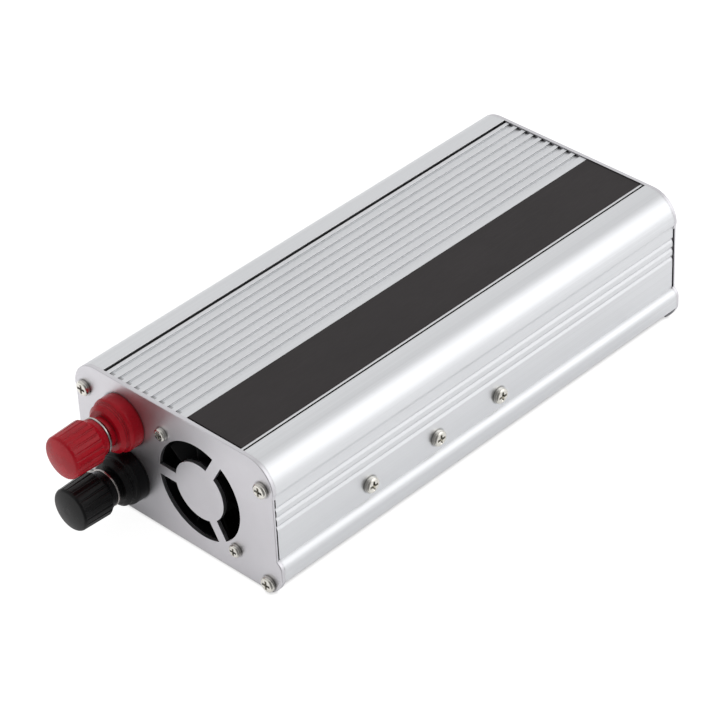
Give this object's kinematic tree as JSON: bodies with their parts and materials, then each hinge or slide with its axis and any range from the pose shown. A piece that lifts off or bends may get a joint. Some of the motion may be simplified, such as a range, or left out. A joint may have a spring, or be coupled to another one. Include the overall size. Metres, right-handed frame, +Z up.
{
  "type": "power inverter",
  "caption": "Portable battery-to-mains power inverter in a finned aluminium case, with screw-down binding posts and a cooling fan at one end and an outlet panel at the other.",
  "frame": {"origin": "centre of the case's flat underside", "axes": "+Z up, +Y along the case from the battery end towards the outlet end, +X to the right seen from the battery end"},
  "size_m": [0.0968, 0.237, 0.053],
  "materials": {
    "case_aluminium": "satin anodised extrusion",
    "plate_aluminium": "satin sheet",
    "dark_strip": "matte warm black",
    "screw_steel": "nickel plated",
    "bright_nickel": "nickel plated",
    "stud_brass": "nickel-washed brass",
    "tinned_copper": "tinned",
    "red_plastic": "semi-gloss moulded",
    "black_plastic": "semi-gloss moulded",
    "fan_plastic": "moulded",
    "silicon_steel": "stamped",
    "coil_copper": "enamelled wire",
    "magnet_ferrite": "bonded ferrite",
    "bearing_bronze": "sintered",
    "shaft_steel": "ground",
    "wire_red": "PVC",
    "wire_black": "PVC",
    "insulator_nylon": "natural nylon",
    "grey_pad": "silicone",
    "clamp_steel": "zinc plated",
    "epoxy_black": "moulded",
    "board_green": "solder mask",
    "can_sleeve": "shrink sleeve",
    "ferrite": "sintered",
    "yellow_tape": "polyester tape",
    "choke_yellow": "painted core",
    "film_red": "epoxy dipped",
    "fuse_green": "translucent",
    "socket_black": "moulded",
    "switch_black": "moulded",
    "led_green": "diffused",
    "led_red": "diffused",
    "usb_nickel": "nickel plated",
    "usb_white": "moulded",
    "gold_contact": "gold flash"
  },
  "bodies": {
    "inverter": {"housing_body": "case_aluminium", "top_lid": "case_aluminium", "decor_strip": "dark_strip", "dc_end_plate": "plate_aluminium", "ac_end_plate": "plate_aluminium", "end_plate_screws": "screw_steel", "clamp_screws": "screw_steel", "fan_screws": "screw_steel", "m3_nuts": "screw_steel", "clamp_bars": "clamp_steel", "thermal_pads": "grey_pad", "transistor_frames": "tinned_copper", "transistor_bodies": "epoxy_black", "fan_frame": "fan_plastic", "fan_bearing": "bearing_bronze", "fan_stator": "silicon_steel", "fan_coils": "coil_copper", "fan_cable": "wire_black", "red_post_collar": "red_plastic", "red_post_stud": "stud_brass", "black_post_collar": "black_plastic", "black_post_stud": "stud_brass", "red_battery_cable": "wire_red", "black_battery_cable": "wire_black", "post_insulators": "insulator_nylon", "post_nuts": "bright_nickel", "cable_lugs": "tinned_copper", "input_tabs": "tinned_copper", "socket_body": "socket_black", "socket_contacts": "stud_brass", "switch_body": "switch_black", "switch_terminals": "stud_brass", "power_led": "led_green", "fault_led": "led_red", "usb_shell": "usb_nickel", "usb_tongue": "usb_white", "usb_contacts": "gold_contact", "indicator_board": "board_green", "main_board": "board_green", "input_capacitors": "can_sleeve", "bus_capacitors": "can_sleeve", "transformer_cores": "ferrite", "transformer_windings": "yellow_tape", "choke_core": "choke_yellow", "choke_winding": "coil_copper", "film_capacitors": "film_red", "control_chips": "epoxy_black", "buzzer": "epoxy_black", "fuses": "fuse_green", "outlet_wires": "wire_red"},
    "fan_wheel": {"fan_rotor": "fan_plastic", "fan_magnet": "magnet_ferrite", "fan_shaft": "shaft_steel"},
    "red_washer": {"red_post_washer": "bright_nickel"},
    "red_cap": {"red_post_cap": "red_plastic", "red_cap_insert": "stud_brass"},
    "black_washer": {"black_post_washer": "bright_nickel"},
    "black_cap": {"black_post_cap": "black_plastic", "black_cap_insert": "stud_brass"},
    "rocker": {"switch_rocker": "switch_black"}
  },
  "joints": [
    {"name": "fan_spin", "type": "hinge", "parent": "inverter", "child": "fan_wheel", "pos_m": [0.0115, -0.096, 0.0257], "axis": [0, -1, 0], "continuous": true},
    {"name": "red_cap_lift", "type": "slide", "parent": "inverter", "child": "red_washer", "axis": [0, -1, 0], "range_m": [-0.001, 0.00501]},
    {"name": "red_cap_turn", "type": "hinge", "parent": "red_washer", "child": "red_cap", "pos_m": [-0.0235, -0.118, 0.038], "axis": [0, -1, 0], "range_deg": [-360, 1800]},
    {"name": "black_cap_lift", "type": "slide", "parent": "inverter", "child": "black_washer", "axis": [0, -1, 0], "range_m": [0, 0.00601]},
    {"name": "black_cap_turn", "type": "hinge", "parent": "black_washer", "child": "black_cap", "pos_m": [-0.0235, -0.118, 0.0155], "axis": [0, -1, 0], "range_deg": [0, 2160]},
    {"name": "power_switch", "type": "hinge", "parent": "inverter", "child": "rocker", "pos_m": [-0.0305, 0.0985, 0.0265], "axis": [1, 0, 0], "range_deg": [0, 20]}
  ],
  "couplings": [
    {"joint": "red_cap_lift", "follows": "red_cap_turn", "m_per_rad": 0.00015915},
    {"joint": "black_cap_lift", "follows": "black_cap_turn", "m_per_rad": 0.00015915}
  ]
}
